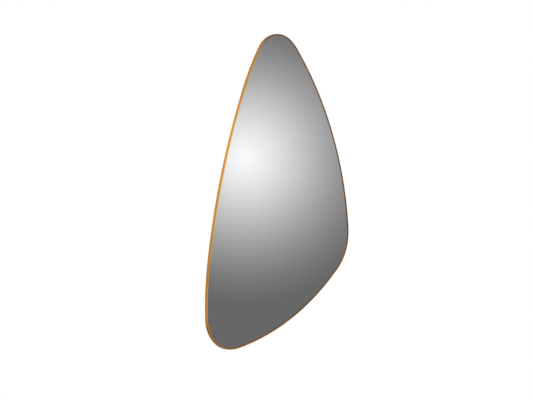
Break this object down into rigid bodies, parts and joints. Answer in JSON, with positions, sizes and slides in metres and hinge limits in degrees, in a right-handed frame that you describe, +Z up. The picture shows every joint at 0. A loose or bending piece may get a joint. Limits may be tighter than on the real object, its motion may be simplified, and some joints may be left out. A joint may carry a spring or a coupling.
{
  "type": "triangular wall mirror",
  "caption": "Wall mirror with a tall rounded-triangle pane in a slim gold-leafed band frame, on a backing board with swinging ring hangers.",
  "frame": {"origin": "point on the wall plane midway between the two wall hooks, at the height where the rings' crowns hang on them, above the centre of mass", "axes": "+X to the right as seen from the front, +Y towards the wall, +Z up; the mirror faces -Y"},
  "size_m": [0.716, 0.02, 1.1],
  "materials": {
    "gold_leaf": "burnished gold leaf over a steel band, satin with soft wear at the edges",
    "mirror_silver": "silvered float glass with polished arris",
    "foam_tape": "closed-cell foam, matt",
    "backing_fibreboard": "bare medium-density fibreboard with a sawn bevel",
    "bracket_paint": "satin black powder coat",
    "zinc_steel": "bright zinc plate",
    "bright_wire": "nickel-plated drawn wire",
    "bumper_rubber": "matt moulded rubber"
  },
  "bodies": {
    "mirror": {"frame_band": "gold_leaf", "mirror_glass": "mirror_silver", "backing_board": "backing_fibreboard", "bracket_screws": "zinc_steel", "hanger_screws": "zinc_steel", "hanger_strap_left": "zinc_steel", "hanger_strap_right": "zinc_steel", "mounting_tape_1": "foam_tape", "mounting_tape_2": "foam_tape", "mounting_tape_3": "foam_tape", "mounting_tape_4": "foam_tape", "mounting_tape_5": "foam_tape", "mounting_tape_6": "foam_tape", "frame_bracket_1": "bracket_paint", "frame_bracket_2": "bracket_paint", "frame_bracket_3": "bracket_paint", "frame_bracket_4": "bracket_paint", "frame_bracket_5": "bracket_paint", "frame_bracket_6": "bracket_paint", "frame_bracket_7": "bracket_paint", "frame_bracket_8": "bracket_paint", "frame_bracket_9": "bracket_paint", "wall_bumper_1": "bumper_rubber", "wall_bumper_2": "bumper_rubber", "wall_bumper_3": "bumper_rubber"},
    "left_ring": {"hanger_ring_left": "bright_wire"},
    "right_ring": {"hanger_ring_right": "bright_wire"}
  },
  "joints": [
    {"name": "left_ring_swing", "type": "hinge", "parent": "mirror", "child": "left_ring", "pos_m": [-0.1, -0.00422, -0.019], "axis": [-1, 0, 0], "range_deg": [0, 172]},
    {"name": "right_ring_swing", "type": "hinge", "parent": "mirror", "child": "right_ring", "pos_m": [0.1, -0.00422, -0.019], "axis": [-1, 0, 0], "range_deg": [0, 172]}
  ]
}
